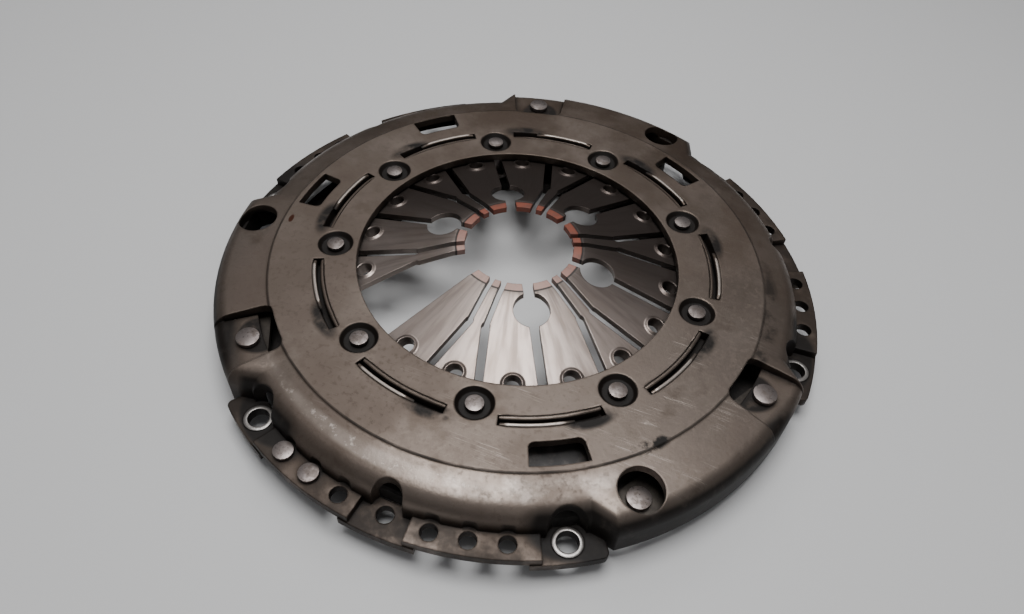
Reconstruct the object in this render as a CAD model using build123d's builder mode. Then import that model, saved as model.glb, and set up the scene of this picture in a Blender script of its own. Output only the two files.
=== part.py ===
from build123d import *
import os
from math import asin, cos, degrees, hypot, radians, sin, tan

# Clutch pressure plate for a 240 mm disc: pressed cover, diaphragm spring, cast plate and leaf straps.
# Millimetres and degrees. Z is zero on the face that bolts to the flywheel, +Z points to the release
# bearing, and +X runs through a bolt hole and a fulcrum rivet.

# Running gaps
body_gap = 0.3            # between pieces that move against each other
seat_gap = 0.2            # between the spring and what it rocks on
rivet_clearance = 0.1     # round a rivet shank in its hole

# Cover: sheet, main levels and the radius that the others follow
sheet = 4.0
ring_top = 21.0
flange_radius = 140.0
opening_margin = 10.5     # from the fulcrum rivets in to the edge of the opening
ridge_step = 0.6

# Cover: wall behind the bolting flange
flange_width = 10.6
wall_round = 10.0
wall_slope = 10.0
shoulder_width = 17.4     # from the wall in to the ridge line

# Cover: three bulges that house the leaf straps
bulge_depth = 7.0
bulge_round = 8.0
bulge_slope = 5.0
bulge_half_angle = 22.8
bulge_blend_angle = 3.2
bulge_centres = (-30.0, 90.0, 210.0)

# Cover: bolting flange between the bulges
flange_half_angle = 36.0
flange_corner = 2.5
flange_centre = 30.0
strip_rise = 3.6
strip_setback = 0.5
joggle_angle = 1.8
bolt_margin = 8.0         # from the flange's edge in to the bolt circle
bolt_hole_radius = 4.2
bolt_seat_radius = 6.1
bolt_seat_height = 0.4
bolt_pad_angle = 25.6
bolt_offset = 30.0
socket_radius = 8.2
dowel_margin = 9.0
dowel_hole_radius = 3.5
dowel_pad_angle = 4.6
dowel_notch_radius = 6.4
balance_margin = 6.5
balance_hole_radius = 3.4
balance_offsets = (8.0, 14.2, 20.4)
scallop_radius = 5.2
scallop_height = 5.0

# Cover: vent windows and the larger inspection window, both inside the ridge line
vent_margin = 2.5
vent_width = 10.5
vent_half_angle = 6.2
vent_corner = 2.6
vent_angle = 60.0
inspection_margin = 0.5
inspection_width = 11.5
inspection_angle = 136.3
inspection_half_angle = 6.0
inspection_corner = 4.5

# Cover: lanced tabs that carry one end of each strap, and holes over the other end
tab_offset = 16.3
tab_half_angle = 6.2
tab_drop = 5.2
tab_reach = 5.8           # from the strap rivet in to the tab's free edge
tab_shear_gap = 0.25
tab_round = 5.0
pocket_margin = 1.0       # from the ridge line in to the pocket's edge
pocket_corner = 4.0
access_hole_radius = 9.0
access_margin = 11.7      # from the bulge in to the middle of the hole
access_offset = 17.1

# Fulcrum: rivets in dished seats, and pressed beads between them
lever_arm = 20.5          # from the plate's crown in to the rivets
rivet_count = 9
rivet_shank_radius = 3.5
rivet_head_radius = 3.8
rivet_foot_radius = 8.0
rivet_foot_height = 2.2
dish_depth = 2.2
dish_radius = 8.1
dish_floor_radius = 6.4
boss_radius = 6.6
bead_offset = 6.2         # from the rivets out to the bead
bead_width = 4.6
bead_depth = 4.5
bead_end_angle = 6.6
bead_draft = 20.0

# Diaphragm spring
spring_thickness = 2.8
spring_overhang = 2.5     # past the plate's crown
spring_tip_radius = 24.8
spring_tip_length = 5.8
spring_tip_top = 27.6
spring_tip_slope = 0.08
finger_count = 18
keyhole_every = 3
slot_width = 3.8
slot_tip_width = 2.6
slot_kink_length = 22.4   # from the finger tips out to the kink
slot_kink_angle = 5.4     # lean towards the middle finger of each three
slot_tip_angle = 3.0
keyhole_slot_width = 4.2
keyhole_radius = 8.0
keyhole_inset = 12.8      # from the finger tips out to the keyhole's middle
keyhole_neck_width = 4.8
window_radius = 7.4
finger_hole_radius = 3.6
finger_hole_inset = 13.8  # from the fulcrum rivets in to the holes
missing_finger_angle = 230.0
missing_finger_inset = 6.0

# Lower pivot ring
pivot_wire_radius = 2.0

# Pressure plate
friction_face = -8.0
plate_gap = 4.9           # inside the cover's wall
plate_width = 42.0
plate_inner_top = -1.7
plate_top = 1.4
plate_step = 8.5          # from the crown in to the lower inner land
crown_inset = 16.0
crown_width = 5.0
crown_gap_count = 12
crown_gap_width = 9.0
plate_edge = 1.0
lug_radius = 8.0

# Leaf straps
strap_rivet_inset = 13.1  # from the bulge in to the strap rivets
strap_width = 14.6
strap_end = 8.0
strap_flat = 9.5
strap_corner = 6.5
leaf_thickness = 0.7
leaf_gap = 0.1
leaf_count = 4
plate_strap_rivet_top = 9.0
strap_rivet_head_radius = 4.8
strap_rivet_head_height = 2.4
strap_rivet_shank_radius = 3.0

# Balance rivets, in two holes of one flange sector
balance_head_radius = 4.0
balance_head_height = 2.0
balance_foot_radius = 4.6
balance_foot_height = 1.2

# Radii that follow from the flange, from the outside in
wall_radius = flange_radius - flange_width
bulge_radius = wall_radius + bulge_depth
bolt_circle_radius = flange_radius - bolt_margin
dowel_circle_radius = flange_radius - dowel_margin
balance_circle_radius = flange_radius - balance_margin
ridge_radius = wall_radius - shoulder_width
vent_outer_radius = ridge_radius - vent_margin
inspection_outer_radius = ridge_radius - inspection_margin
pocket_inner_radius = ridge_radius - pocket_margin
strap_rivet_circle_radius = bulge_radius - strap_rivet_inset
tab_inner_radius = strap_rivet_circle_radius - tab_reach
access_circle_radius = bulge_radius - access_margin
plate_outer_radius = wall_radius - sheet - plate_gap
plate_inner_radius = plate_outer_radius - plate_width
crown_radius = plate_outer_radius - crown_inset
spring_outer_radius = crown_radius + spring_overhang
spring_bend_radius = spring_tip_radius + spring_tip_length
rivet_circle_radius = crown_radius - lever_arm
bead_radius = rivet_circle_radius + bead_offset
opening_radius = rivet_circle_radius - opening_margin

# Levels and slopes that follow from the sizes above
cut_margin = 2.0
sector_pitch = 360 / len(bulge_centres)
core_radius = opening_radius - 3 * sheet
ring_under = ring_top - sheet
strip_top = sheet + strip_rise
tab_top = ring_top - tab_drop
tab_under = tab_top - sheet
dish_floor = ring_top - dish_depth
boss_under = dish_floor - sheet
bead_under = ring_under - bead_depth
bead_foot = bead_width / 2 - bead_depth * tan(radians(bead_draft)) / 2
fulcrum_radius = bead_radius - bead_foot
spring_at_bead = bead_under - seat_gap
spring_at_bend = spring_tip_top - spring_tip_slope * (spring_bend_radius - spring_tip_radius)
spring_slope = (spring_at_bend - spring_at_bead) / (fulcrum_radius - spring_bend_radius)
spring_drop = spring_thickness * hypot(1, spring_slope)
finger_pitch = 360 / finger_count
rivet_pitch = 360 / rivet_count
rivet_angles = [0, rivet_pitch, 2 * rivet_pitch]
seam_angle = rivet_angles[2] + (degrees(asin(dish_radius / rivet_circle_radius)) + bead_end_angle) / 2
hollow_spans = [
    (flange_centre - bolt_pad_angle + joggle_angle, flange_centre - dowel_pad_angle - joggle_angle),
    (flange_centre + dowel_pad_angle + joggle_angle, flange_centre + bolt_pad_angle - joggle_angle),
]
balance_rivet_angles = [flange_centre - sector_pitch - offset for offset in balance_offsets[1:]]
pack_height = leaf_count * leaf_thickness + (leaf_count - 1) * leaf_gap
plate_strap_top = plate_strap_rivet_top - strap_rivet_head_height
lug_top = plate_strap_top - pack_height - body_gap
strap_span = 2 * strap_rivet_circle_radius * sin(radians(tab_offset))
strap_radius = strap_rivet_circle_radius * cos(radians(tab_offset))


def polar(radius, angle):
    return (radius * cos(radians(angle)), radius * sin(radians(angle)))


def midpoint(start, end):
    return (start[0] + end[0]) / 2, (start[1] + end[1]) / 2


def radial_plane(angle):
    # upright plane through the axis: local x runs outwards, local y is up
    outward = (cos(radians(angle)), sin(radians(angle)), 0)
    normal = (sin(radians(angle)), -cos(radians(angle)), 0)
    return Plane(origin=(0, 0, 0), x_dir=outward, z_dir=normal)


def spring_top(radius):
    return spring_at_bead + (fulcrum_radius - radius) * spring_slope


def sector(inner, outer, start, end):
    # plan of a piece of a ring between two angles
    with BuildSketch() as plan:
        with BuildLine():
            outer_arc = CenterArc((0, 0), outer, start, end - start)
            inner_arc = CenterArc((0, 0), inner, start, end - start)
            Line(inner_arc @ 0, outer_arc @ 0)
            Line(inner_arc @ 1, outer_arc @ 1)
        make_face()
    return plan.sketch


def rounded_sector(inner, outer, start, end, inner_corner, outer_corner):
    with BuildSketch() as plan:
        add(sector(inner, outer, start, end))
        corners = plan.vertices().sort_by(lambda v: hypot(v.X, v.Y))
        if inner_corner:
            fillet(corners[:2], inner_corner)
        if outer_corner:
            fillet(corners[2:], outer_corner)
    return plan.sketch


def discs(circle_radius, angles, radius):
    with BuildSketch() as plan:
        for angle in angles:
            with Locations(polar(circle_radius, angle)):
                Circle(radius)
    return plan.sketch


def half_section(plane, wall, round_radius, slope, inset, base):
    # half section of the pressed form, moved inwards by inset to give the inner skin
    lean = radians(slope)
    core = core_radius - inset
    shelf_x = ridge_radius + ridge_step
    shelf_z = ring_top - ridge_step
    centre_x = wall - round_radius
    tangent_x = centre_x + round_radius * sin(lean)
    tangent_z = shelf_z - (tangent_x - shelf_x) * tan(lean)
    centre_z = tangent_z - round_radius * cos(lean)
    with BuildSketch(plane) as section:
        with BuildLine():
            shoulder = CenterArc((centre_x, centre_z), round_radius - inset, 0, 90 - slope)
            Polyline(
                shoulder @ 1,
                (shelf_x - inset * sin(lean), shelf_z - inset * cos(lean)),
                (ridge_radius, ring_top - inset),
                (core, ring_top - inset),
                (core, base),
                (wall - inset, base),
                shoulder @ 0,
            )
        make_face()
    return section.sketch


def pressed_form(inset, base):
    # filled form of one third of the cover: flange wall, half a bulge at each end, and blends between
    low = flange_centre - sector_pitch / 2 + bulge_half_angle
    high = flange_centre + sector_pitch / 2 - bulge_half_angle
    with BuildPart() as form:
        start = radial_plane(seam_angle - sector_pitch)
        add(half_section(start, bulge_radius, bulge_round, bulge_slope, inset, base))
        revolve(axis=Axis.Z, revolution_arc=low - seam_angle + sector_pitch)
        start = radial_plane(low + bulge_blend_angle)
        add(half_section(start, wall_radius, wall_round, wall_slope, inset, base))
        revolve(axis=Axis.Z, revolution_arc=high - low - 2 * bulge_blend_angle)
        add(half_section(radial_plane(high), bulge_radius, bulge_round, bulge_slope, inset, base))
        revolve(axis=Axis.Z, revolution_arc=seam_angle - high)
        for near, far in ((low, low + bulge_blend_angle), (high, high - bulge_blend_angle)):
            add(half_section(radial_plane(near), bulge_radius, bulge_round, bulge_slope, inset, base))
            add(half_section(radial_plane(far), wall_radius, wall_round, wall_slope, inset, base))
            loft(ruled=True)
    return form.part


# One third of the pressed cover
outer_form = pressed_form(0, 0)
inner_form = pressed_form(sheet, -cut_margin)

with BuildPart() as cover_third:
    add(outer_form)
    # the wall stops short above the hollow under each raised strip
    with BuildSketch(Plane.XY.offset(-cut_margin)):
        for start, end in hollow_spans:
            add(sector(wall_radius - 2 * sheet, flange_radius, start, end))
    extrude(amount=cut_margin + strip_rise + sheet / 2, mode=Mode.SUBTRACT)
    # bolting flange: low pads at the bolts and dowel, raised strips between them
    with BuildSketch():
        add(rounded_sector(wall_radius - sheet / 2, flange_radius, flange_centre - flange_half_angle,
                           flange_centre + flange_half_angle, 0, flange_corner))
        for start, end in hollow_spans:
            add(sector(wall_radius - sheet, flange_radius + cut_margin, start, end), mode=Mode.SUBTRACT)
    extrude(amount=sheet)
    with BuildSketch(Plane.XY.offset(strip_rise)):
        for start, end in hollow_spans:
            add(sector(wall_radius - 1.5 * sheet, flange_radius - strip_setback,
                       start - joggle_angle, end + joggle_angle))
    extrude(amount=sheet)
    add(inner_form, mode=Mode.SUBTRACT)

    # beads pressed between the rivets, and a boss under each rivet seat
    for rivet_angle in rivet_angles:
        with BuildSketch(radial_plane(rivet_angle - rivet_pitch + bead_end_angle)):
            with BuildLine():
                Polyline(
                    (bead_radius - bead_width / 2 - sheet / 2, ring_under + sheet / 2),
                    (bead_radius - bead_foot, bead_under),
                    (bead_radius + bead_foot, bead_under),
                    (bead_radius + bead_width / 2 + sheet / 2, ring_under + sheet / 2),
                    close=True,
                )
            make_face()
        revolve(axis=Axis.Z, revolution_arc=rivet_pitch - 2 * bead_end_angle)
    with BuildSketch(Plane.XY.offset(boss_under)):
        add(discs(rivet_circle_radius, rivet_angles, boss_radius))
    extrude(amount=dish_depth + sheet / 2)
    for rivet_angle in rivet_angles:
        with BuildSketch(radial_plane(rivet_angle - rivet_pitch + bead_end_angle)):
            with BuildLine():
                Polyline(
                    (bead_radius - bead_width / 2, ring_top + cut_margin),
                    (bead_radius - bead_width / 2, ring_top),
                    (bead_radius - bead_foot, ring_top - bead_depth),
                    (bead_radius + bead_foot, ring_top - bead_depth),
                    (bead_radius + bead_width / 2, ring_top),
                    (bead_radius + bead_width / 2, ring_top + cut_margin),
                    close=True,
                )
            make_face()
        revolve(axis=Axis.Z, revolution_arc=rivet_pitch - 2 * bead_end_angle, mode=Mode.SUBTRACT)

    # dished seats and holes for the fulcrum rivets
    for rivet_angle in rivet_angles:
        x, y = polar(rivet_circle_radius, rivet_angle)
        with Locations((x, y, dish_floor + dish_depth / 2)):
            Cone(dish_floor_radius, dish_radius, dish_depth, mode=Mode.SUBTRACT)
    with BuildSketch(Plane.XY.offset(ring_top)):
        Circle(opening_radius)
        add(discs(rivet_circle_radius, rivet_angles, rivet_shank_radius + rivet_clearance))
    extrude(amount=-ring_top, mode=Mode.SUBTRACT)

    # vent window
    with BuildSketch(Plane.XY.offset(ring_top + cut_margin)):
        add(rounded_sector(vent_outer_radius - vent_width, vent_outer_radius, vent_angle - vent_half_angle,
                           vent_angle + vent_half_angle, vent_corner, vent_corner))
    extrude(amount=-sheet - 2 * cut_margin, mode=Mode.SUBTRACT)

    # lanced pocket, and in it a tab that is pressed down and runs out into the wall
    shear = bulge_centres[0] + tab_offset - tab_half_angle
    with BuildSketch(Plane.XY.offset(-cut_margin)):
        add(rounded_sector(pocket_inner_radius, flange_radius + cut_margin,
                           shear, shear + 2 * tab_half_angle, pocket_corner, 0))
    extrude(amount=ring_top + 2 * cut_margin, mode=Mode.SUBTRACT)
    with BuildSketch(radial_plane(shear)):
        with BuildLine():
            bend_centre = (bulge_radius - tab_round, tab_top - tab_round)
            outer_bend = CenterArc(bend_centre, tab_round, 0, 90)
            inner_bend = CenterArc(bend_centre, tab_round - sheet, 0, 90)
            tab_end = [(tab_inner_radius, tab_top), (tab_inner_radius, tab_under)]
            Polyline(outer_bend @ 1, *tab_end, inner_bend @ 1)
            Polyline(outer_bend @ 0, (bulge_radius, 0), (bulge_radius - sheet, 0), inner_bend @ 0)
        make_face()
    revolve(axis=Axis.Z, revolution_arc=2 * tab_half_angle)
    with BuildSketch(Plane.XY.offset(tab_under - cut_margin)):
        add(sector(pocket_inner_radius + pocket_corner, bulge_radius - tab_round,
                   shear - tab_shear_gap / 4, shear + tab_shear_gap))
    extrude(amount=tab_drop + sheet + 2 * cut_margin, mode=Mode.SUBTRACT)

    # hole over the plate end of the next strap, and the rivet hole in the tab
    with BuildSketch(Plane.XY.offset(tab_under)):
        add(discs(access_circle_radius, [bulge_centres[1] - access_offset], access_hole_radius))
        add(discs(strap_rivet_circle_radius, [bulge_centres[0] + tab_offset],
                  strap_rivet_shank_radius + rivet_clearance))
    extrude(amount=ring_top, mode=Mode.SUBTRACT)

    # socket room over the bolts, dowel notch, and scallops at the wall foot beside the balance holes
    bolt_angles = [flange_centre - bolt_offset, flange_centre + bolt_offset]
    balance_angles = [flange_centre + side * offset for side in (-1, 1) for offset in balance_offsets]
    with BuildSketch(Plane.XY.offset(sheet)):
        add(discs(bolt_circle_radius, bolt_angles, socket_radius))
        add(discs(dowel_circle_radius, [flange_centre], dowel_notch_radius))
        add(discs(wall_radius, [flange_centre], dowel_notch_radius))
    extrude(amount=ring_top, mode=Mode.SUBTRACT)
    with BuildSketch(Plane.XY.offset(strip_top)):
        add(discs(balance_circle_radius, balance_angles, scallop_radius))
    extrude(amount=scallop_height, mode=Mode.SUBTRACT)

    # raised seats under the bolt heads
    with BuildSketch(Plane.XY.offset(sheet / 2)):
        add(discs(bolt_circle_radius, bolt_angles, bolt_seat_radius))
    extrude(amount=sheet / 2 + bolt_seat_height)

    # every hole through the flange
    with BuildSketch(Plane.XY.offset(-cut_margin)):
        add(discs(dowel_circle_radius, [flange_centre], dowel_hole_radius))
        add(discs(bolt_circle_radius, bolt_angles, bolt_hole_radius))
        add(discs(balance_circle_radius, balance_angles, balance_hole_radius))
    extrude(amount=strip_top + 2 * cut_margin, mode=Mode.SUBTRACT)

# Whole cover, with the one larger inspection window
with BuildPart() as cover:
    with PolarLocations(0, len(bulge_centres)):
        add(cover_third.part)
    with BuildSketch(Plane.XY.offset(ring_top + cut_margin)):
        add(rounded_sector(inspection_outer_radius - inspection_width, inspection_outer_radius,
                           inspection_angle - inspection_half_angle,
                           inspection_angle + inspection_half_angle, vent_corner, inspection_corner))
    extrude(amount=-sheet - 2 * cut_margin, mode=Mode.SUBTRACT)


# Diaphragm spring: coned ring and fingers, slit from above
with BuildPart() as diaphragm_spring:
    with BuildSketch(Plane.XZ):
        with BuildLine():
            Polyline(
                (spring_tip_radius, spring_tip_top),
                (spring_bend_radius, spring_at_bend),
                (spring_outer_radius, spring_top(spring_outer_radius)),
                (spring_outer_radius, spring_top(spring_outer_radius) - spring_drop),
                (spring_bend_radius, spring_at_bend - spring_drop),
                (spring_tip_radius, spring_tip_top - spring_drop),
                close=True,
            )
        make_face()
    revolve(axis=Axis.Z)
    with BuildSketch():
        for index in range(finger_count):
            angle = index * finger_pitch
            root = polar(rivet_circle_radius, angle)
            with Locations(root):
                Circle(window_radius)
            if index % keyhole_every:
                lean = 1 if index % keyhole_every == 1 else -1
                kink = polar(spring_tip_radius + slot_kink_length, angle + lean * slot_kink_angle)
                tip = polar(spring_tip_radius - slot_width, angle + lean * slot_tip_angle)
                SlotCenterPoint(midpoint(kink, root), root, slot_width)
                SlotCenterPoint(midpoint(kink, tip), tip, slot_tip_width)
            elif abs(angle - missing_finger_angle) < finger_pitch:
                tip = polar(spring_tip_radius - keyhole_neck_width, angle)
                SlotCenterPoint(midpoint(root, tip), tip, keyhole_neck_width)
            else:
                hole = polar(spring_tip_radius + keyhole_inset, angle)
                tip = polar(spring_tip_radius - keyhole_neck_width, angle)
                with Locations(hole):
                    Circle(keyhole_radius)
                SlotCenterPoint(midpoint(hole, root), root, keyhole_slot_width)
                SlotCenterPoint(midpoint(hole, tip), tip, keyhole_neck_width)
            with Locations(polar(rivet_circle_radius - finger_hole_inset, angle + finger_pitch / 2)):
                Circle(finger_hole_radius)
        gap_start = missing_finger_angle - finger_pitch / 2
        gap_end = missing_finger_angle + finger_pitch / 2
        add(sector(spring_tip_radius - slot_width, rivet_circle_radius - missing_finger_inset, gap_start, gap_end))
        with BuildLine():
            Polyline(
                polar(rivet_circle_radius, gap_start),
                polar(spring_tip_radius + slot_kink_length, gap_start - slot_kink_angle),
                polar(spring_tip_radius - slot_width, gap_start - slot_tip_angle),
                polar(spring_tip_radius - slot_width, missing_finger_angle),
                close=True,
            )
        make_face()
    extrude(amount=spring_tip_top + cut_margin, mode=Mode.SUBTRACT)


# Lower pivot ring, a round wire under the spring
pivot_rise = (pivot_wire_radius + seat_gap) * hypot(1, spring_slope)
pivot_centre = spring_top(bead_radius) - spring_drop - pivot_rise
with BuildPart() as pivot_ring:
    with BuildSketch(Plane.XZ):
        with Locations((bead_radius, pivot_centre)):
            Circle(pivot_wire_radius)
    revolve(axis=Axis.Z)


# Fulcrum rivets: head in the dished seat, shank through the spring, foot under the pivot ring
rivet_foot_top = pivot_centre - pivot_wire_radius - seat_gap
with BuildPart() as fulcrum_rivets:
    with BuildSketch(Plane.XY.offset(dish_floor)):
        with PolarLocations(rivet_circle_radius, rivet_count):
            Circle(rivet_head_radius)
    extrude(amount=dish_depth)
    with BuildSketch(Plane.XY.offset(rivet_foot_top)):
        with PolarLocations(rivet_circle_radius, rivet_count):
            Circle(rivet_shank_radius)
    extrude(amount=dish_floor - rivet_foot_top)
    with BuildSketch(Plane.XY.offset(rivet_foot_top)):
        with PolarLocations(rivet_circle_radius, rivet_count):
            Circle(rivet_foot_radius)
    extrude(amount=-rivet_foot_height)


# Cast pressure plate: friction ring, broken crown under the spring, and three strap lugs
crown_top = spring_top(crown_radius) - spring_drop - body_gap
with BuildPart() as pressure_plate:
    with BuildSketch(Plane.XZ):
        with BuildLine():
            Polyline(
                (plate_inner_radius, friction_face),
                (plate_outer_radius - plate_edge, friction_face),
                (plate_outer_radius, friction_face + plate_edge),
                (plate_outer_radius, plate_top - plate_edge),
                (plate_outer_radius - plate_edge, plate_top),
                (crown_radius + crown_width, plate_top),
                (crown_radius + crown_width / 2, crown_top - crown_width / 4),
                (crown_radius, crown_top),
                (crown_radius - crown_width / 2, crown_top - crown_width / 4),
                (crown_radius - crown_width, plate_top),
                (crown_radius - plate_step, plate_inner_top),
                (plate_inner_radius + plate_edge, plate_inner_top),
                (plate_inner_radius, plate_inner_top - plate_edge),
                close=True,
            )
        make_face()
    revolve(axis=Axis.Z)
    with BuildSketch(Plane.XY.offset(plate_top)):
        with PolarLocations(crown_radius, crown_gap_count, start_angle=180 / crown_gap_count):
            Rectangle(2 * crown_width + cut_margin, crown_gap_width)
    extrude(amount=crown_top, mode=Mode.SUBTRACT)
    with BuildSketch(Plane.XY.offset(friction_face + 2 * plate_edge)):
        for centre in bulge_centres:
            lug = polar(strap_rivet_circle_radius, centre - tab_offset)
            root = polar(plate_outer_radius - 2 * lug_radius, centre - tab_offset)
            with Locations(lug):
                Circle(lug_radius)
            SlotCenterPoint(((lug[0] + root[0]) / 2, (lug[1] + root[1]) / 2), lug, 2 * lug_radius)
    extrude(amount=lug_top - friction_face - 2 * plate_edge)
    with BuildSketch(Plane.XY.offset(friction_face)):
        for centre in bulge_centres:
            with Locations(polar(strap_rivet_circle_radius, centre - tab_offset)):
                Circle(strap_rivet_shank_radius + rivet_clearance)
    extrude(amount=ring_top - friction_face, mode=Mode.SUBTRACT)


# Leaf straps: each pack bends from its cover tab down to its plate lug
leaves = []
for pack, centre in zip("abc", bulge_centres):
    across = (-sin(radians(centre)), cos(radians(centre)), 0)
    outward = (cos(radians(centre)), sin(radians(centre)), 0)
    middle = (strap_radius * outward[0], strap_radius * outward[1], 0)
    side_plane = Plane(origin=middle, x_dir=across, z_dir=outward)
    for number in range(leaf_count):
        lower = number * (leaf_thickness + leaf_gap)
        cover_end = tab_under - lower
        plate_end = plate_strap_top - lower
        half_run = strap_span / 2 - strap_flat
        half_length = strap_span / 2 + strap_end
        with BuildPart() as leaf:
            with BuildSketch(side_plane):
                waist = (0, (cover_end + plate_end) / 2)
                top = [(half_length, cover_end), (half_run, cover_end), waist, (-half_run, plate_end),
                       (-half_length, plate_end)]
                under = [(x, z - leaf_thickness) for x, z in top]
                with BuildLine():
                    for points in (top, under):
                        Line(points[0], points[1])
                        first_bend = TangentArc(points[1], points[2], tangent=(-1, 0))
                        TangentArc(points[2], points[3], tangent=first_bend % 1)
                        Line(points[3], points[4])
                    Line(top[0], under[0])
                    Line(top[4], under[4])
                make_face()
            extrude(amount=strap_width / 2, both=True)
            fillet(leaf.edges().filter_by(Axis.Z), strap_corner)
            with BuildSketch(Plane.XY):
                with Locations(polar(strap_rivet_circle_radius, centre + tab_offset)):
                    Circle(strap_rivet_shank_radius + rivet_clearance)
                with Locations(polar(strap_rivet_circle_radius, centre - tab_offset)):
                    Circle(strap_rivet_shank_radius + body_gap)
            extrude(amount=ring_top, mode=Mode.SUBTRACT)
        leaf.part.label = f"strap_{pack}_leaf_{number + 1}"
        leaves.append(leaf.part)


# Rivets that hold the straps to the cover tabs
cover_rivet_angles = [centre + tab_offset for centre in bulge_centres]
with BuildPart() as cover_strap_rivets:
    with BuildSketch(Plane.XY.offset(tab_top)):
        add(discs(strap_rivet_circle_radius, cover_rivet_angles, strap_rivet_head_radius))
    extrude(amount=strap_rivet_head_height)
    with BuildSketch(Plane.XY.offset(tab_under - pack_height)):
        add(discs(strap_rivet_circle_radius, cover_rivet_angles, strap_rivet_shank_radius))
    extrude(amount=sheet + pack_height)
    with BuildSketch(Plane.XY.offset(tab_under - pack_height)):
        add(discs(strap_rivet_circle_radius, cover_rivet_angles, strap_rivet_head_radius))
    extrude(amount=-strap_rivet_head_height / 2)


# Rivets that hold the straps to the plate lugs
plate_rivet_angles = [centre - tab_offset for centre in bulge_centres]
with BuildPart() as plate_strap_rivets:
    with BuildSketch(Plane.XY.offset(plate_strap_top)):
        add(discs(strap_rivet_circle_radius, plate_rivet_angles, strap_rivet_head_radius))
    extrude(amount=strap_rivet_head_height)
    with BuildSketch(Plane.XY.offset(plate_strap_top)):
        add(discs(strap_rivet_circle_radius, plate_rivet_angles, strap_rivet_shank_radius))
    extrude(amount=friction_face + 2 * plate_edge - plate_strap_top)


# Balance rivets closed in two of the flange holes
with BuildPart() as balance_rivets:
    with BuildSketch(Plane.XY.offset(strip_top)):
        add(discs(balance_circle_radius, balance_rivet_angles, balance_head_radius))
    extrude(amount=balance_head_height)
    with BuildSketch(Plane.XY.offset(strip_rise)):
        add(discs(balance_circle_radius, balance_rivet_angles, balance_hole_radius - rivet_clearance))
    extrude(amount=sheet)
    with BuildSketch(Plane.XY.offset(strip_rise)):
        add(discs(balance_circle_radius, balance_rivet_angles, balance_foot_radius))
    extrude(amount=-balance_foot_height)


os.makedirs("parts", exist_ok=True)
cover.part.label = "cover"
diaphragm_spring.part.label = "diaphragm_spring"
pivot_ring.part.label = "pivot_ring"
fulcrum_rivets.part.label = "fulcrum_rivets"
pressure_plate.part.label = "pressure_plate"
cover_strap_rivets.part.label = "cover_strap_rivets"
plate_strap_rivets.part.label = "plate_strap_rivets"
balance_rivets.part.label = "balance_rivets"
export_step(cover.part, "parts/cover.step")
export_step(diaphragm_spring.part, "parts/diaphragm_spring.step")
export_step(pivot_ring.part, "parts/pivot_ring.step")
export_step(fulcrum_rivets.part, "parts/fulcrum_rivets.step")
export_step(pressure_plate.part, "parts/pressure_plate.step")
export_step(cover_strap_rivets.part, "parts/cover_strap_rivets.step")
export_step(plate_strap_rivets.part, "parts/plate_strap_rivets.step")
export_step(balance_rivets.part, "parts/balance_rivets.step")
for leaf_part in leaves:
    export_step(leaf_part, f"parts/{leaf_part.label}.step")
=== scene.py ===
import math

import bmesh
import bpy
from mathutils import Matrix, Vector


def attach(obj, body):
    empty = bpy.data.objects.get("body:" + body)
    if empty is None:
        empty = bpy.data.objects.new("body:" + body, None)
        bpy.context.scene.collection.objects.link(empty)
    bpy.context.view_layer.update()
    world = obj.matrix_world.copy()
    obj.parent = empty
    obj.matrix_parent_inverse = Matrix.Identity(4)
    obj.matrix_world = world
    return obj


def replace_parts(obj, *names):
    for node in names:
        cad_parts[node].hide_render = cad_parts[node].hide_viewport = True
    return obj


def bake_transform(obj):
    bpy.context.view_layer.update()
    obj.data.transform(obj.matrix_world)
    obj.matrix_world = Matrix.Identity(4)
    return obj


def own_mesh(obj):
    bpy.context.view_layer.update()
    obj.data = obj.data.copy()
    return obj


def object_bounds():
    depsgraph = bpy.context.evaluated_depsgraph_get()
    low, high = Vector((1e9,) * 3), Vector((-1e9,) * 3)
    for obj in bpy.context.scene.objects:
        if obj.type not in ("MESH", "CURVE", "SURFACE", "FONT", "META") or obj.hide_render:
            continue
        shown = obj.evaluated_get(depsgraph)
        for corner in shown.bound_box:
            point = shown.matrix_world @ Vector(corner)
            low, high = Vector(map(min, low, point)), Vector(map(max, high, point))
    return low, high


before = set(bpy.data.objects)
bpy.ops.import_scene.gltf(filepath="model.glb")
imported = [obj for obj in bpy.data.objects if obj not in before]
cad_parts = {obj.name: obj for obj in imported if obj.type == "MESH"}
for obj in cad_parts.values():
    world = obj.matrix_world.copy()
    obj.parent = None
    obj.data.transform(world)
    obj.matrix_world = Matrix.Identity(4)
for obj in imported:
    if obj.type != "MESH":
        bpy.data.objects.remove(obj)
cadBox = [list(corner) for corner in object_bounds()]
print("frame loaded:", len(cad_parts), "nodes")

mm = 0.001


# node helpers

def addNode(tree, kind, values=None, **props):
    node = tree.nodes.new(kind)
    for name, value in props.items():
        setattr(node, name, value)
    for name, value in (values or {}).items():
        node.inputs[name].default_value = value
    return node


def feed(tree, socket, value):
    if isinstance(value, bpy.types.NodeSocket):
        tree.links.new(value, socket)
    else:
        socket.default_value = value


def calc(tree, operation, a, b=None, c=None, clamp=False):
    node = addNode(tree, "ShaderNodeMath", operation=operation, use_clamp=clamp)
    for index, value in enumerate((a, b, c)):
        if value is not None:
            feed(tree, node.inputs[index], value)
    return node.outputs[0]


def strongest(tree, *masks):
    top = masks[0]
    for mask in masks[1:]:
        top = calc(tree, "MAXIMUM", top, mask)
    return top


def product(tree, *masks):
    whole = masks[0]
    for mask in masks[1:]:
        whole = calc(tree, "MULTIPLY", whole, mask)
    return whole


def opposite(tree, mask):
    return calc(tree, "SUBTRACT", 1.0, mask, clamp=True)


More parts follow.
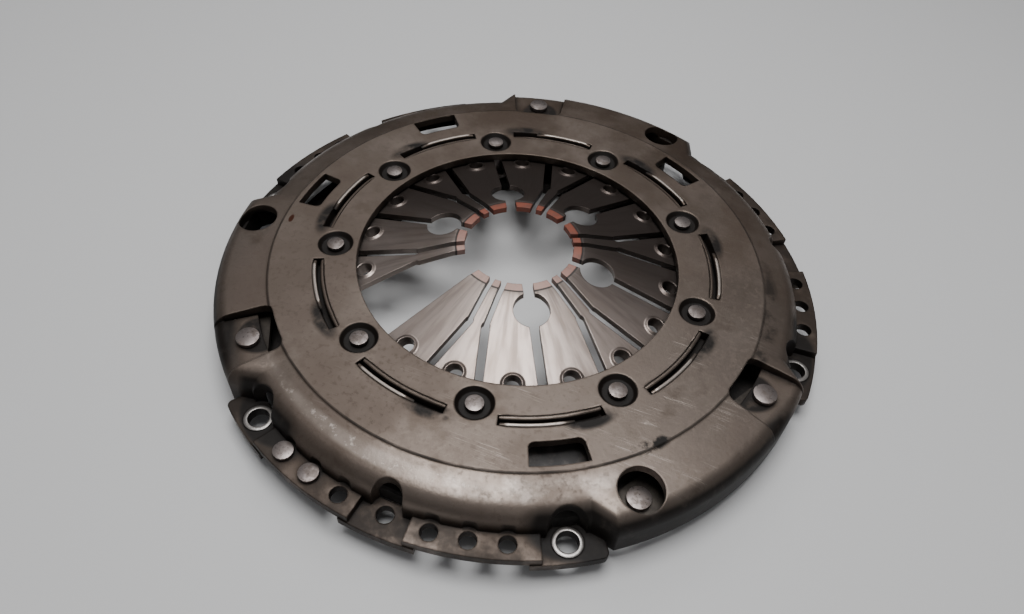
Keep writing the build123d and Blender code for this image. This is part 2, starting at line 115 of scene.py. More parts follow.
def lengthOf(tree, a, b):
    return calc(tree, "SQRT", calc(tree, "ADD", product(tree, a, a), product(tree, b, b)))


def ramp(tree, value, low, high, toLow=0.0, toHigh=1.0):
    node = addNode(tree, "ShaderNodeMapRange", interpolation_type="SMOOTHSTEP")
    settings = {"Value": value, "From Min": low, "From Max": high, "To Min": toLow, "To Max": toHigh}
    for name, setting in settings.items():
        feed(tree, node.inputs[name], setting)
    return node.outputs["Result"]


def spread(tree, mask, low, high):
    # a mask from 0 to 1 stretched between two levels
    return ramp(tree, mask, 0.0, 1.0, low, high)


def mixColour(tree, factor, a, b, blend="MIX"):
    node = addNode(tree, "ShaderNodeMix", data_type="RGBA", blend_type=blend)
    feed(tree, node.inputs[0], factor)
    for socket, value in ((node.inputs[6], a), (node.inputs[7], b)):
        feed(tree, socket, value if isinstance(value, bpy.types.NodeSocket) else (*value, 1.0))
    return node.outputs[2]


def noiseAt(tree, place, scale, detail, **more):
    noise = addNode(tree, "ShaderNodeTexNoise", {"Scale": scale, "Detail": detail, **more})
    tree.links.new(place, noise.inputs["Vector"])
    return noise.outputs[0]


def heightAndDepth(tree, place):
    split = addNode(tree, "ShaderNodeSeparateXYZ")
    tree.links.new(place, split.inputs[0])
    return split.outputs[2], split.outputs[1]


def newGroup(name, inputs, outputs):
    tree = bpy.data.node_groups.new(name, "ShaderNodeTree")
    for label, kind, default in inputs:
        socket = tree.interface.new_socket(label, in_out="INPUT", socket_type=kind)
        if default is not None:
            socket.default_value = default
    for label, kind in outputs:
        tree.interface.new_socket(label, in_out="OUTPUT", socket_type=kind)
    return tree, addNode(tree, "NodeGroupInput").outputs, addNode(tree, "NodeGroupOutput").inputs


def useGroup(tree, group, **values):
    node = addNode(tree, "ShaderNodeGroup", node_tree=group)
    for name, value in values.items():
        feed(tree, node.inputs[name], value)
    return node.outputs[0]


# shared effects

vectorIn = ("Vector", "NodeSocketVector", None)
maskOut = [("Mask", "NodeSocketFloat")]


def number(label, default):
    return label, "NodeSocketFloat", default


def makeBlotches():
    tree, given, put = newGroup("blotches", [
        vectorIn, number("Scale", 40.0), number("Detail", 6.0),
        number("Low", 0.45), number("High", 0.6)], maskOut)
    noise = addNode(tree, "ShaderNodeTexNoise", {"Roughness": 0.62})
    for name in ("Vector", "Scale", "Detail"):
        tree.links.new(given[name], noise.inputs[name])
    tree.links.new(ramp(tree, noise.outputs[0], given["Low"], given["High"]), put["Mask"])
    return tree


def makeScratches():
    # thin broken lines: a stretched noise cut to a narrow level
    tree, given, put = newGroup("scratches", [
        vectorIn, ("Turn", "NodeSocketVector", None), ("Stretch", "NodeSocketVector", None),
        number("Width", 0.02)], maskOut)
    place = addNode(tree, "ShaderNodeMapping")
    for name, socket in (("Vector", "Vector"), ("Turn", "Rotation"), ("Stretch", "Scale")):
        tree.links.new(given[name], place.inputs[socket])
    level = noiseAt(tree, place.outputs[0], 1.0, 3.0, Roughness=0.5)
    away = calc(tree, "ABSOLUTE", calc(tree, "SUBTRACT", level, 0.5))
    line = opposite(tree, ramp(tree, away, 0.0, given["Width"]))
    breaks = noiseAt(tree, given["Vector"], 55.0, 2.0)
    tree.links.new(product(tree, line, ramp(tree, breaks, 0.48, 0.62)), put["Mask"])
    return tree


def makePolar():
    # distance from the axis and angle round it
    tree, given, put = newGroup("polar", [vectorIn], [
        ("Vector", "NodeSocketVector"), ("Radius", "NodeSocketFloat"), ("Angle", "NodeSocketFloat")])
    split = addNode(tree, "ShaderNodeSeparateXYZ")
    tree.links.new(given["Vector"], split.inputs[0])
    radius = lengthOf(tree, split.outputs[0], split.outputs[1])
    angle = calc(tree, "ARCTAN2", split.outputs[1], split.outputs[0])
    join = addNode(tree, "ShaderNodeCombineXYZ")
    for socket, value in zip(join.inputs, (radius, angle, split.outputs[2])):
        tree.links.new(value, socket)
    for name, value in (("Vector", join.outputs[0]), ("Radius", radius), ("Angle", angle)):
        tree.links.new(value, put[name])
    return tree


def makeBand(polar):
    tree, given, put = newGroup("band", [
        vectorIn, number("Inner", 0.0), number("Outer", 0.1), number("Soft", 0.002)], maskOut)
    place = addNode(tree, "ShaderNodeGroup", node_tree=polar)
    tree.links.new(given["Vector"], place.inputs[0])
    radius = place.outputs["Radius"]
    rise = ramp(tree, radius, calc(tree, "SUBTRACT", given["Inner"], given["Soft"]), given["Inner"])
    fall = ramp(tree, radius, given["Outer"], calc(tree, "ADD", given["Outer"], given["Soft"]), 1.0, 0.0)
    tree.links.new(product(tree, rise, fall), put["Mask"])
    return tree


def makePatches(polar):
    # soft ellipses set evenly on a circle, bent along it
    tree, given, put = newGroup("patches", [
        vectorIn, number("Count", 1.0), number("Phase", 0.0), number("Circle", 0.084),
        number("Along", 0.008), number("Across", 0.008), number("Soft", 0.2)], maskOut)
    place = addNode(tree, "ShaderNodeGroup", node_tree=polar)
    tree.links.new(given["Vector"], place.inputs[0])
    radius = place.outputs["Radius"]
    half = calc(tree, "DIVIDE", math.pi, given["Count"])
    turned = calc(tree, "SUBTRACT", place.outputs["Angle"], given["Phase"])
    near = calc(tree, "WRAP", turned, half, product(tree, half, -1.0))
    along = calc(tree, "DIVIDE", product(tree, radius, near), given["Along"])
    across = calc(tree, "DIVIDE", calc(tree, "SUBTRACT", radius, given["Circle"]), given["Across"])
    away = lengthOf(tree, along, across)
    tree.links.new(ramp(tree, away, 1.0, calc(tree, "ADD", 1.0, given["Soft"]), 1.0, 0.0), put["Mask"])
    return tree


blotches = makeBlotches()
scratches = makeScratches()
polar = makePolar()
band = makeBand(polar)
patches = makePatches(polar)


def startMaterial(name, metallic, roughness):
    material = bpy.data.materials.new(name)
    material.use_nodes = True
    tree = material.node_tree
    shader = tree.nodes["Principled BSDF"]
    shader.inputs["Metallic"].default_value = metallic
    shader.inputs["Roughness"].default_value = roughness
    return material, tree, shader, addNode(tree, "ShaderNodeTexCoord").outputs["Object"]


def addBump(tree, shader, height, strength, distance, normal=None):
    bump = addNode(tree, "ShaderNodeBump", {"Strength": strength, "Distance": distance})
    tree.links.new(height, bump.inputs["Height"])
    if normal is not None:
        tree.links.new(normal, bump.inputs["Normal"])
    tree.links.new(bump.outputs[0], shader.inputs["Normal"])


def openness(tree, distance):
    return addNode(tree, "ShaderNodeAmbientOcclusion", {"Distance": distance}, samples=8).outputs["AO"]


def paintedCornerShade(tree, distance, low, high):
    # painted shade: darker where the surface is shut in
    return ramp(tree, openness(tree, distance), low, high, 1.0, 0.0)


def softEdges(tree, radius):
    return addNode(tree, "ShaderNodeBevel", {"Radius": radius}, samples=6).outputs[0]


def spot(angle, circle, along, across, soft, count=1.0):
    # a soft patch on the cover, placed in degrees and millimetres
    return {"Count": count, "Phase": math.radians(angle), "Circle": circle * mm, "Along": along * mm,
            "Across": across * mm, "Soft": soft}


coverLook = {
    "steel": (0.112, 0.088, 0.073), "pale": (0.172, 0.141, 0.120), "brown": (0.058, 0.041, 0.030),
    # worn also paints highlights on the front shoulder and the groove lips; film and grime also paint shade
    "worn": (0.42, 0.37, 0.33), "film": (0.040, 0.029, 0.022), "grimeAndShade": (0.006, 0.0042, 0.0032),
    "rust": (0.045, 0.016, 0.009),
    "metallic": 0.72, "specular": 0.2, "roughness": (0.33, 0.50), "grimeRoughness": 0.55,
    "edgeRadius": 1.0 * mm, "shutDistance": 11 * mm, "lipHeight": 21.08 * mm, "lipSoft": 0.15 * mm,
    "farSide": (-60 * mm, 120 * mm), "wallTop": (15.5 * mm, 19.5 * mm), "wallFoot": (5 * mm, 14 * mm),
    "ridge": {"Inner": 111.65 * mm, "Outer": 112.25 * mm, "Soft": 0.3 * mm},
    "lines": {"Turn": (0.0, 0.0, math.radians(32)), "Stretch": (9.0, 620.0, 60.0), "Width": 0.010},
    "dishes": spot(0, 84, 7.75, 7.75, 0.05, count=9.0),
    "rims": spot(0, 84, 8.4, 8.4, 0.08, count=9.0),
    "smoke": spot(-10.6, 92.8, 6.8, 2.6, 1.0, count=9.0),
    "tabs": spot(-14.2, 119, 8.6, 8.2, 0.25, count=3.0),
    "shoulderWearAndHighlight": spot(-97, 118.4, 30, 1.6, 1.4),
    "frontWearAndHighlight": spot(-68, 119, 26, 3, 1.2),
    "frontWallDirtAndShade": spot(-37, 137, 52, 8.5, 0.35),
    "leftWallDirtAndShade": spot(-160, 137, 66, 11, 0.5),
    "socketDirt": spot(-58.5, 130, 15, 8, 0.5, count=6.0),
    "blot": spot(-41.5, 111, 7, 1.8, 0.9),
    "rustMark": spot(-167.8, 108.5, 2.1, 0.9, 0.4),
    "ridgeOil": spot(2, 115, 26, 2.4, 1.0),
    "scratched": spot(-40, 102, 62, 26, 0.4),
    # each blotch: scale, lower and upper level, detail
    "blotch": {
        "cloud": (16.0, 0.36, 0.66, 8.0), "speckle": (420.0, 0.50, 0.66, 4.0),
        "far": (26.0, 0.30, 0.62, 8.0), "stains": (34.0, 0.52, 0.70, 9.0),
        "specks": (420.0, 0.50, 0.68, 6.0), "front": (70.0, 0.42, 0.66, 8.0),
        "shoulder": (60.0, 0.30, 0.62, 8.0), "ragged": (150.0, 0.15, 0.55, 7.0),
        "low": (60.0, 0.30, 0.57, 8.0), "film": (48.0, 0.24, 0.58, 8.0),
        "smoke": (110.0, 0.20, 0.55, 6.0), "tabs": (75.0, 0.22, 0.46, 8.0),
        "ridge": (40.0, 0.25, 0.60, 8.0), "blot": (170.0, 0.42, 0.56, 8.0),
        "oil": (95.0, 0.46, 0.60, 8.0),
    },
}


def makeCoverSteel(look):
    material, tree, shader, place = startMaterial("wornCoverSteel", look["metallic"], look["roughness"][1])
    shader.inputs["Specular IOR Level"].default_value = look["specular"]

    def blotch(name):
        scale, low, high, detail = look["blotch"][name]
        return useGroup(tree, blotches, Vector=place, Scale=scale, Detail=detail, Low=low, High=high)

    def patch(name):
        return useGroup(tree, patches, Vector=place, **look[name])

    height, depth = heightAndDepth(tree, place)
    cloud = blotch("cloud")
    speckle = blotch("speckle")
    colour = mixColour(tree, cloud, look["steel"], look["pale"])
    # painted shade: the far side is painted browner and darker, mixed with real brown stains and specks
    far = product(tree, ramp(tree, depth, *look["farSide"], 0.1, 0.85), blotch("far"))
    brownAndFarShade = strongest(tree, far, product(tree, blotch("stains"), 0.55), product(tree, speckle, 0.28))
    colour = mixColour(tree, brownAndFarShade, colour, look["brown"])

    lines = useGroup(tree, scratches, Vector=place, **look["lines"])
    lines = product(tree, lines, spread(tree, patch("scratched"), 0.12, 0.75))
    # the front shoulder is painted pale: worn metal and a painted highlight
    shoulder = patch("shoulderWearAndHighlight")
    worn = strongest(tree, product(tree, shoulder, blotch("specks"), 0.8),
                     product(tree, patch("frontWearAndHighlight"), blotch("front"), 0.45),
                     product(tree, shoulder, blotch("shoulder"), 0.30))
    # the burrs on the groove lips are painted pale: worn metal and a painted highlight
    lips = ramp(tree, height, look["lipHeight"], look["lipHeight"] + look["lipSoft"])
    bright = strongest(tree, worn, product(tree, lines, 0.6), product(tree, lips, 0.9))
    colour = mixColour(tree, bright, colour, look["worn"])

    # grime and painted shade: painted shade in shut-in corners, on the walls and along the ridge step; oil on
    # the tabs and the walls; rivet dishes painted near black; a darkened patch at one end of each groove;
    # darker towards the foot of the wall
    ragged = blotch("ragged")
    # the rivet dishes are painted near black
    dishes = patch("dishes")
    rims = patch("rims")
    onWall = ramp(tree, height, *look["wallTop"], 1.0, 0.0)
    # darker towards the foot of the wall
    low = product(tree, ramp(tree, height, *look["wallFoot"], 1.0, 0.0), blotch("low"), 0.95)
    # painted shade: darker where the surface is shut in, except on the rims of the rivet dishes
    closed = openness(tree, look["shutDistance"])
    shadeInCorners = product(tree, ramp(tree, closed, 0.40, 0.82, 1.0, 0.0), spread(tree, ragged, 0.75, 1.0))
    # painted shade: a soft dark film where the surface is partly shut in
    film = product(tree, ramp(tree, closed, 0.62, 0.97, 1.0, 0.0), blotch("film"))
    # the front and left walls are painted near black, oil with painted shade; smears lie by the sockets
    dirtAndShade = strongest(tree, patch("frontWallDirtAndShade"), patch("leftWallDirtAndShade"), patch("socketDirt"))
    wall = product(tree, dirtAndShade, onWall, spread(tree, ragged, 0.8, 1.0))
    # a darkened patch at one end of each groove
    smoke = product(tree, patch("smoke"), blotch("smoke"))
    tabs = product(tree, patch("tabs"), blotch("tabs"), onWall)
    # painted shade: a dark line along the ridge step
    ridge = product(tree, useGroup(tree, band, Vector=place, **look["ridge"]), blotch("ridge"), 0.8)
    blot = product(tree, patch("blot"), blotch("blot"))
    oil = product(tree, patch("ridgeOil"), blotch("oil"), 0.85)
    rimAlone = calc(tree, "SUBTRACT", rims, dishes, clamp=True)
    shut = product(tree, shadeInCorners, opposite(tree, rimAlone))
    grimeAndShade = strongest(tree, shut, dishes, product(tree, low, 0.75), wall, smoke, tabs, ridge, blot, oil)
    grimeAndShade = product(tree, grimeAndShade, opposite(tree, lips))
    film = strongest(tree, film, product(tree, low, 0.9))
    film = product(tree, film, opposite(tree, strongest(tree, rims, lips)))
    colour = mixColour(tree, product(tree, film, 0.8), colour, look["film"])
    colour = mixColour(tree, patch("rustMark"), colour, look["rust"])
    colour = mixColour(tree, grimeAndShade, colour, look["grimeAndShade"])
    tree.links.new(colour, shader.inputs["Base Color"])

    rough = spread(tree, cloud, look["roughness"][1], look["roughness"][0])
    rough = calc(tree, "ADD", rough, product(tree, speckle, 0.10))
    mixRough = addNode(tree, "ShaderNodeMix", {"B": look["grimeRoughness"]})
    tree.links.new(grimeAndShade, mixRough.inputs["Factor"])
    tree.links.new(rough, mixRough.inputs["A"])
    tree.links.new(mixRough.outputs["Result"], shader.inputs["Roughness"])
    tree.links.new(ramp(tree, grimeAndShade, 0.2, 1.0, look["metallic"], 0.0), shader.inputs["Metallic"])

    grain = noiseAt(tree, place, 620.0, 5.0, Roughness=0.6)
    dents = noiseAt(tree, place, 75.0, 2.0)
    relief = calc(tree, "ADD", grain, product(tree, dents, 2.2))
    relief = calc(tree, "SUBTRACT", relief, product(tree, lines, 0.5))
    addBump(tree, shader, relief, 0.22, 0.25 * mm, softEdges(tree, look["edgeRadius"]))
    return material


springLook = {
    "steel": (0.262, 0.219, 0.196), "shade": (0.165, 0.134, 0.118), "stain": (0.17, 0.125, 0.095),
    "film": (0.044, 0.034, 0.030), "grimeAndShade": (0.007, 0.005, 0.004),
    "farRustShaded": (0.19, 0.050, 0.028), "nearRustLit": (0.38, 0.250, 0.212),
    "metallic": 0.80, "roughness": (0.36, 0.55), "farSide": (-28 * mm, 20 * mm),
    "streaks": (38.0, 16.0, 40.0),
    "tips": {"Inner": 0.0, "Outer": 28.4 * mm, "Soft": 0.3 * mm},
    "step": {"Inner": 28.6 * mm, "Outer": 29.1 * mm, "Soft": 0.4 * mm},
    "root": {"Inner": 80 * mm, "Outer": 120 * mm, "Soft": 6 * mm},
    "edgeRadius": 0.5 * mm, "shutDistance": 6 * mm,
}


def makeSpringSteel(look):
    material, tree, shader, place = startMaterial("springSteel", look["metallic"], look["roughness"][0])

    def ring(name):
        return useGroup(tree, band, Vector=place, **look[name])

    depth = heightAndDepth(tree, place)[1]
    far = ramp(tree, depth, *look["farSide"])
    # faint streaks along the fingers
    stretch = addNode(tree, "ShaderNodeMapping", {"Scale": look["streaks"]})
    tree.links.new(useGroup(tree, polar, Vector=place), stretch.inputs["Vector"])
    streak = noiseAt(tree, stretch.outputs[0], 1.0, 6.0, Roughness=0.55)
    tone = ramp(tree, streak, 0.30, 0.60)
    colour = mixColour(tree, tone, look["shade"], look["steel"])
    cloud = useGroup(tree, blotches, Vector=place, Scale=45.0, Detail=8.0, Low=0.45, High=0.68)
    colour = mixColour(tree, product(tree, cloud, 0.3), colour, look["stain"])
    ragged = useGroup(tree, blotches, Vector=place, Scale=180.0, Detail=7.0, Low=0.30, High=0.58)
    # painted shade: the far fingers, which the light hardly reaches, are painted dark
    colour = mixColour(tree, product(tree, far, 0.85), colour, look["film"])
    # the rust on the tips is painted paler on the near side and darker on the far side: rust with painted
    # light and shade
    tips = product(tree, ring("tips"), spread(tree, ragged, 0.6, 1.0))
    colour = mixColour(tree, tips, colour, mixColour(tree, far, look["nearRustLit"], look["farRustShaded"]))
    # painted shadow: a dark line at the step on the outer edge of the tip pads
    step = ring("step")
    # painted shade: the finger roots under the cover ring are painted dark
    rootShade = product(tree, ring("root"), spread(tree, ragged, 0.88, 1.0))
    # painted shade: darker where the surface is shut in
    shadeInCorners = paintedCornerShade(tree, look["shutDistance"], 0.30, 0.80)
    grimeAndShade = strongest(tree, product(tree, shadeInCorners, 0.9), rootShade, product(tree, step, 0.85))
    colour = mixColour(tree, grimeAndShade, colour, look["grimeAndShade"])
    tree.links.new(colour, shader.inputs["Base Color"])
    dull = strongest(tree, tips, grimeAndShade)
    tree.links.new(spread(tree, dull, look["metallic"], 0.25), shader.inputs["Metallic"])
    rough = calc(tree, "ADD", spread(tree, dull, *look["roughness"]), product(tree, tone, -0.05))
    tree.links.new(rough, shader.inputs["Roughness"])
    relief = calc(tree, "SUBTRACT", product(tree, streak, 0.5), step)
    addBump(tree, shader, relief, 0.25, 0.3 * mm, softEdges(tree, look["edgeRadius"]))
    return material


# near black for painted shade in shut-in corners, and for specks of grime on the rivets
cornerShadeAndGrime = (0.012, 0.009, 0.007)
rivetLook = {
    "steel": (0.205, 0.178, 0.168), "worn": (0.115, 0.095, 0.085),
    "metallic": 0.85, "roughness": (0.34, 0.52),
}


def makeRivetSteel(look):
    material, tree, shader, place = startMaterial("rivetSteel", look["metallic"], look["roughness"][0])
    cloud = useGroup(tree, blotches, Vector=place, Scale=260.0, Detail=6.0, Low=0.42, High=0.64)
    colour = mixColour(tree, cloud, look["steel"], look["worn"])
    specks = useGroup(tree, blotches, Vector=place, Scale=900.0, Detail=3.0, Low=0.58, High=0.68)
    colour = mixColour(tree, product(tree, specks, 0.6), colour, cornerShadeAndGrime)
    # painted shade: the rivets are darker where shut in
    colour = mixColour(tree, paintedCornerShade(tree, 4 * mm, 0.25, 0.75), colour, cornerShadeAndGrime)
    tree.links.new(colour, shader.inputs["Base Color"])
    tree.links.new(spread(tree, cloud, *look["roughness"]), shader.inputs["Roughness"])
    addBump(tree, shader, noiseAt(tree, place, 1500.0, 4.0), 0.2, 0.15 * mm)
    return material


darkLooks = {
    "strapSteel": {"base": (0.030, 0.025, 0.021), "worn": (0.075, 0.064, 0.054), "metallic": 0.7,
                   "roughness": 0.48, "grainScale": 900.0, "bumpDepth": 0.1 * mm},
    "plateIron": {"base": (0.009, 0.007, 0.006), "worn": (0.024, 0.018, 0.015), "metallic": 0.0,
                  "roughness": 0.72, "grainScale": 380.0, "bumpDepth": 0.4 * mm},
    "wireSteel": {"base": (0.06, 0.052, 0.046), "worn": (0.12, 0.105, 0.092), "metallic": 0.8,
                  "roughness": 0.42, "grainScale": 800.0, "bumpDepth": 0.1 * mm},
    "zincSeat": {"base": (0.17, 0.158, 0.148), "worn": (0.30, 0.284, 0.27), "metallic": 0.85,
                 "roughness": 0.36, "grainScale": 1400.0, "bumpDepth": 0.1 * mm},
}


def makeDarkSteel(name, look):
    # straps, plate, wire and seats: dull, oily, with a grain of their own
    material, tree, shader, place = startMaterial(name, look["metallic"], look["roughness"])
    cloud = useGroup(tree, blotches, Vector=place, Scale=70.0, Detail=8.0, Low=0.40, High=0.66)
    colour = mixColour(tree, cloud, look["base"], look["worn"])
    # painted shade: darker where the surface is shut in
    shadeInCorners = paintedCornerShade(tree, 5 * mm, 0.30, 0.80)
    colour = mixColour(tree, product(tree, shadeInCorners, 0.8), colour, cornerShadeAndGrime)
    tree.links.new(colour, shader.inputs["Base Color"])
    rough = spread(tree, cloud, look["roughness"] + 0.1, look["roughness"] - 0.08)
    tree.links.new(rough, shader.inputs["Roughness"])
    grain = noiseAt(tree, place, look["grainScale"], 6.0, Roughness=0.6)
    addBump(tree, shader, grain, 0.3, look["bumpDepth"])
    return material


coverSteel = makeCoverSteel(coverLook)
springSteel = makeSpringSteel(springLook)
rivetSteel = makeRivetSteel(rivetLook)
darkSteels = {name: makeDarkSteel(name, look) for name, look in darkLooks.items()}
print("materials made:", len(bpy.data.materials))


# pieces

def finishPiece(work, name, material):
    mesh = bpy.data.meshes.new(name)
    work.to_mesh(mesh)
    work.free()
    mesh.materials.clear()
    mesh.materials.append(material)
    piece = bpy.data.objects.new(name, mesh)
    bpy.context.scene.collection.objects.link(piece)
    return piece


def dressedCopy(node, name, material, look, extra=None):
    # merged copy of a CAD node with smooth faces and sharp creases,
    # and where asked with rounded edges or added relief
    work = bmesh.new()
    work.from_mesh(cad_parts[node].data)
    bmesh.ops.remove_doubles(work, verts=work.verts, dist=0.004 * mm)
    bmesh.ops.dissolve_degenerate(work, edges=work.edges, dist=0.002 * mm)
    crease = math.radians(look["crease"])
    if look.get("rounding"):
        sharp = [e for e in work.edges if e.is_manifold and e.calc_face_angle() > crease]
        bmesh.ops.bevel(work, geom=sharp, offset=look["rounding"], offset_type="OFFSET", affect="EDGES",
                        segments=2, profile=0.5, material=-1, clamp_overlap=True)
    if extra:
        extra(work, look)
    for face in work.faces:
        face.smooth = True
    for edge in work.edges:
        edge.smooth = edge.is_manifold and edge.calc_face_angle() < crease
    return finishPiece(work, name, material)


def spinRing(work, points, steps, place):
    # a ring turned from a few points and then set in its place
    known = set(work.verts)
    start = [work.verts.new((reach, 0.0, rise)) for reach, rise in points]
    edges = [work.edges.new(pair) for pair in zip(start, start[1:])]
    bmesh.ops.spin(work, geom=start + edges, cent=(0, 0, 0), axis=(0, 0, 1), angle=2 * math.pi,
                   steps=steps, use_merge=True)
    ring = [vert for vert in work.verts if vert not in known]
    bmesh.ops.transform(work, verts=ring, matrix=place)
    bmesh.ops.recalc_face_normals(work, faces=list({face for vert in ring for face in vert.link_faces}))


coverShape = {
    "crease": 24, "grooves": 9, "ringTop": 21 * mm, "steps": 48,
    "burr": {"circle": 91.8 * mm, "start": 7.2, "end": 25.5,
             "profile": ((-1.0, -2.0), (-0.85, -0.3), (-0.45, 0.30), (0.05, 0.42), (0.6, 0.22), (1.2, -0.1))},
    "roll": {"circle": 88.6 * mm, "start": 6.9, "end": 33.1,
             "profile": ((-1.6, -0.04), (-0.7, -0.02), (0.1, -0.16), (0.6, -0.5), (0.85, -1.2), (0.9, -3.0))},
}


def addGrooveLips(work, shape):
    # each groove has a rolled inner edge and, on most of its length, a burr along the outer one
    pitch = 360 / shape["grooves"]
    for index in range(shape["grooves"]):
        for edge in (shape["burr"], shape["roll"]):
            rows = []
            for step in range(shape["steps"] + 1):
                share = step / shape["steps"]
                angle = math.radians(index * pitch + edge["start"] + share * (edge["end"] - edge["start"]))
                swell = min(1.0, 10 * share, 5 * (1 - share))  # the lip dies away at both ends
                row = []
                for across, rise in edge["profile"]:
                    radius = edge["circle"] + across * mm
                    lift = shape["ringTop"] + (min(rise, rise * swell) - 0.3 * (1 - swell)) * mm
                    row.append(work.verts.new((radius * math.cos(angle), radius * math.sin(angle), lift)))
                rows.append(row)
            for row, following in zip(rows, rows[1:]):
                for i in range(len(row) - 1):
                    work.faces.new((row[i], following[i], following[i + 1], row[i + 1]))
    work.normal_update()


coverPiece = dressedCopy("cover", "coverShell", coverSteel, coverShape, addGrooveLips)
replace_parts(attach(coverPiece, "cover"), "cover")
print("cover dressed:", len(coverPiece.data.polygons), "faces")

springShape = {
    "crease": 24, "pivotHeight": 12.3 * mm, "keep": 0.50, "fingers": 18, "missing": 11,
    "holeCircle": 70.2 * mm, "surface": 17.02 * mm, "slope": math.radians(14.3), "steps": 32,
    "collar": ((3.3, -5.0), (3.45, -0.3), (3.55, 0.55), (3.95, 0.85), (4.4, 0.6), (5.3, -0.1)),
}


def addCollars(work, shape):
    # the finger holes are punched from below, which leaves a raised collar; each collar also runs 5 mm down
    # into its hole as a tube, which the painted corner shade turns black
    points = [(reach * mm, rise * mm) for reach, rise in shape["collar"]]
    lean = Matrix.Rotation(shape["slope"], 4, "Y")
    reach = Matrix.Translation((shape["holeCircle"], 0.0, shape["surface"]))
    for index in range(shape["fingers"]):
        if index != shape["missing"]:
            turn = Matrix.Rotation(math.radians((index + 0.5) * 360 / shape["fingers"]), 4, "Z")
            spinRing(work, points, shape["steps"], turn @ reach @ lean)


springPiece = dressedCopy("diaphragm_spring", "diaphragm", springSteel, springShape,
                          addCollars)
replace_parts(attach(springPiece, "cover"), "diaphragm_spring")
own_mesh(springPiece)
print("diaphragm dressed:", len(springPiece.data.polygons), "faces")

rivetShape = {"crease": 40, "rounding": 0.45 * mm}
for node, body in (("fulcrum_rivets", "cover"), ("cover_strap_rivets", "cover"), ("balance_rivets", "cover"),
                   ("plate_strap_rivets", "pressure_plate")):
    rivets = dressedCopy(node, node.replace("_", "") + "Dressed", rivetSteel, rivetShape)
    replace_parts(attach(rivets, body), node)

plateShape = {"crease": 30}
platePiece = dressedCopy("pressure_plate", "plateCasting", darkSteels["plateIron"], plateShape)
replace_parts(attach(platePiece, "pressure_plate"), "pressure_plate")
wireShape = {"crease": 40}
wirePiece = dressedCopy("pivot_ring", "pivotWire", darkSteels["wireSteel"], wireShape)
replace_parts(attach(wirePiece, "cover"), "pivot_ring")
print("rivets, plate and pivot wire dressed")

# each leaf runs between its tab on the cover and its lug on the plate
strapShape = {
    "crease": 30, "halfSpan": 34.6 * mm, "bendStart": 0.55, "leaves": (1, 2, 3, 4),
    "angles": {"a": -30.0, "b": 90.0, "c": 210.0},
}
for pack, angle in strapShape["angles"].items():
    for leafNumber in strapShape["leaves"]:
        node = f"strap_{pack}_leaf_{leafNumber}"
        name = f"strap{pack.upper()}Leaf{leafNumber}"
        leaf = dressedCopy(node, name, darkSteels["strapSteel"], strapShape)
        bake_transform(leaf)
        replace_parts(leaf, node)
print("straps dressed")

# bright seats that the bolt heads have pressed round the flange holes: profile in millimetres
seatShape = {
    "count": 6, "circle": 132 * mm, "steps": 40,
    "profile": ((4.25, 4.3), (4.25, 4.5), (4.55, 4.6), (5.6, 4.6), (6.1, 4.3)),
}


def makeBoltSeats(shape):
    work = bmesh.new()
    points = [(reach * mm, rise * mm) for reach, rise in shape["profile"]]
    for index in range(shape["count"]):
        turn = Matrix.Rotation(2 * math.pi * index / shape["count"], 4, "Z")
        spinRing(work, points, shape["steps"], turn @ Matrix.Translation((shape["circle"], 0.0, 0.0)))
    for face in work.faces:
        face.smooth = True
    return finishPiece(work, "boltSeats", darkSteels["zincSeat"])


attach(makeBoltSeats(seatShape), "cover")
print("bolt seats made")


# stage, light and camera

stageLook = {
    "floorSize": 6.0, "floor": (0.54, 0.54, 0.54), "floorRoughness": 0.6,
    "horizon": (0.05, 0.05, 0.053), "zenith": (0.97, 0.97, 1.0), "horizonEnd": 0.15,
    "backdrop": (1.1, 1.1, 1.1), "worldStrength": 0.36,
}


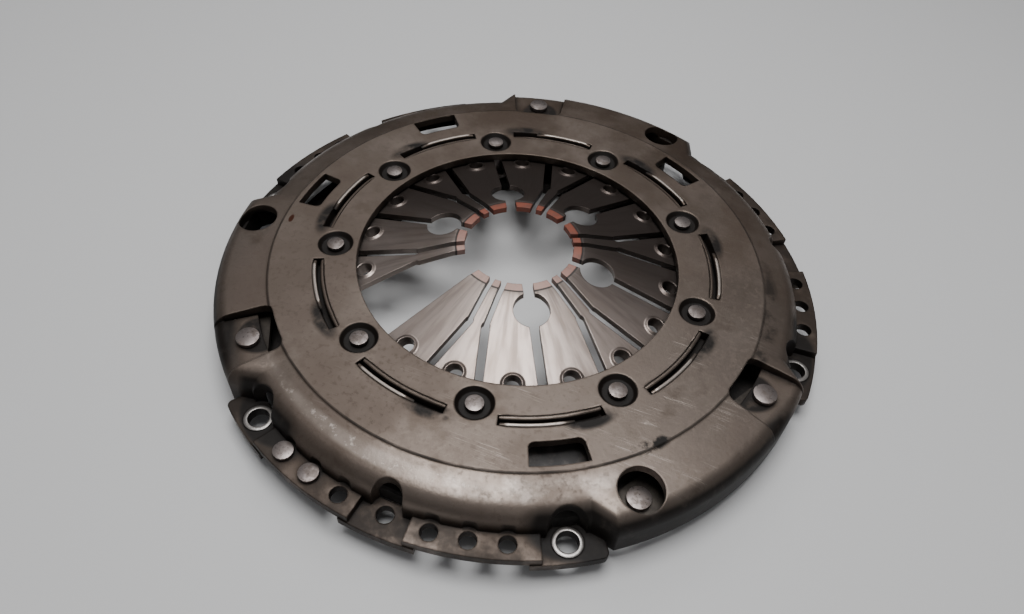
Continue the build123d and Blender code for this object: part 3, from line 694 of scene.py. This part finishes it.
def makeFloor(look):
    work = bmesh.new()
    bmesh.ops.create_grid(work, x_segments=1, y_segments=1, size=look["floorSize"] / 2)
    bmesh.ops.translate(work, verts=work.verts, vec=(0.0, 0.0, cadBox[0][2]))
    mesh = bpy.data.meshes.new("floor")
    work.to_mesh(mesh)
    work.free()
    floor = bpy.data.objects.new("floor", mesh)
    bpy.context.scene.collection.objects.link(floor)
    material, tree, shader, place = startMaterial("paleFloor", 0.0, look["floorRoughness"])
    shader.inputs["Base Color"].default_value = (*look["floor"], 1.0)
    mesh.materials.append(material)


def makeWorld(look):
    # light from overhead, and a pale backdrop past the floor, which lights nothing
    world = bpy.data.worlds.new("softStudio")
    world.use_nodes = True
    tree = world.node_tree
    back = tree.nodes["Background"]
    height, depth = heightAndDepth(tree, addNode(tree, "ShaderNodeTexCoord").outputs["Generated"])
    light = mixColour(tree, ramp(tree, height, look["horizonEnd"], 1.0), look["horizon"], look["zenith"])
    seen = addNode(tree, "ShaderNodeLightPath").outputs["Is Camera Ray"]
    tree.links.new(mixColour(tree, seen, light, look["backdrop"]), back.inputs["Color"])
    back.inputs["Strength"].default_value = look["worldStrength"]
    bpy.context.scene.world = world


lampLook = {
    "top": {"at": (0.0, 0.0, 0.95), "size": 0.6, "power": 9.2},
    "back": {"at": (-0.30, 0.65, 0.90), "size": 0.6, "power": 1.8},
    "front": {"at": (0.55, -0.75, 0.70), "size": 0.6, "power": 0.7},
}


def makeLamps(looks):
    for name, look in looks.items():
        data = bpy.data.lights.new(name + "Lamp", "AREA")
        data.shape = "DISK"
        data.size = look["size"]
        data.energy = look["power"]
        lamp = bpy.data.objects.new(name + "Lamp", data)
        lamp.location = look["at"]
        lamp.rotation_euler = (-Vector(look["at"])).to_track_quat("-Z", "Y").to_euler()
        bpy.context.scene.collection.objects.link(lamp)


cameraLook = {
    "at": (0.0797, -0.2368, 0.2709), "turn": (40.936, -2.783, 22.080),
    "lens": 26.973, "sensor": 36.0, "nearest": 0.01,
}


def makeCamera(look):
    data = bpy.data.cameras.new("photoCamera")
    data.lens = look["lens"]
    data.sensor_width = look["sensor"]
    data.sensor_fit = "HORIZONTAL"
    data.clip_start = look["nearest"]
    camera = bpy.data.objects.new("photoCamera", data)
    camera.location = look["at"]
    camera.rotation_euler = [math.radians(angle) for angle in look["turn"]]
    bpy.context.scene.collection.objects.link(camera)
    bpy.context.scene.camera = camera


makeFloor(stageLook)
makeWorld(stageLook)
makeLamps(lampLook)
makeCamera(cameraLook)
print("stage, lamps and camera set")
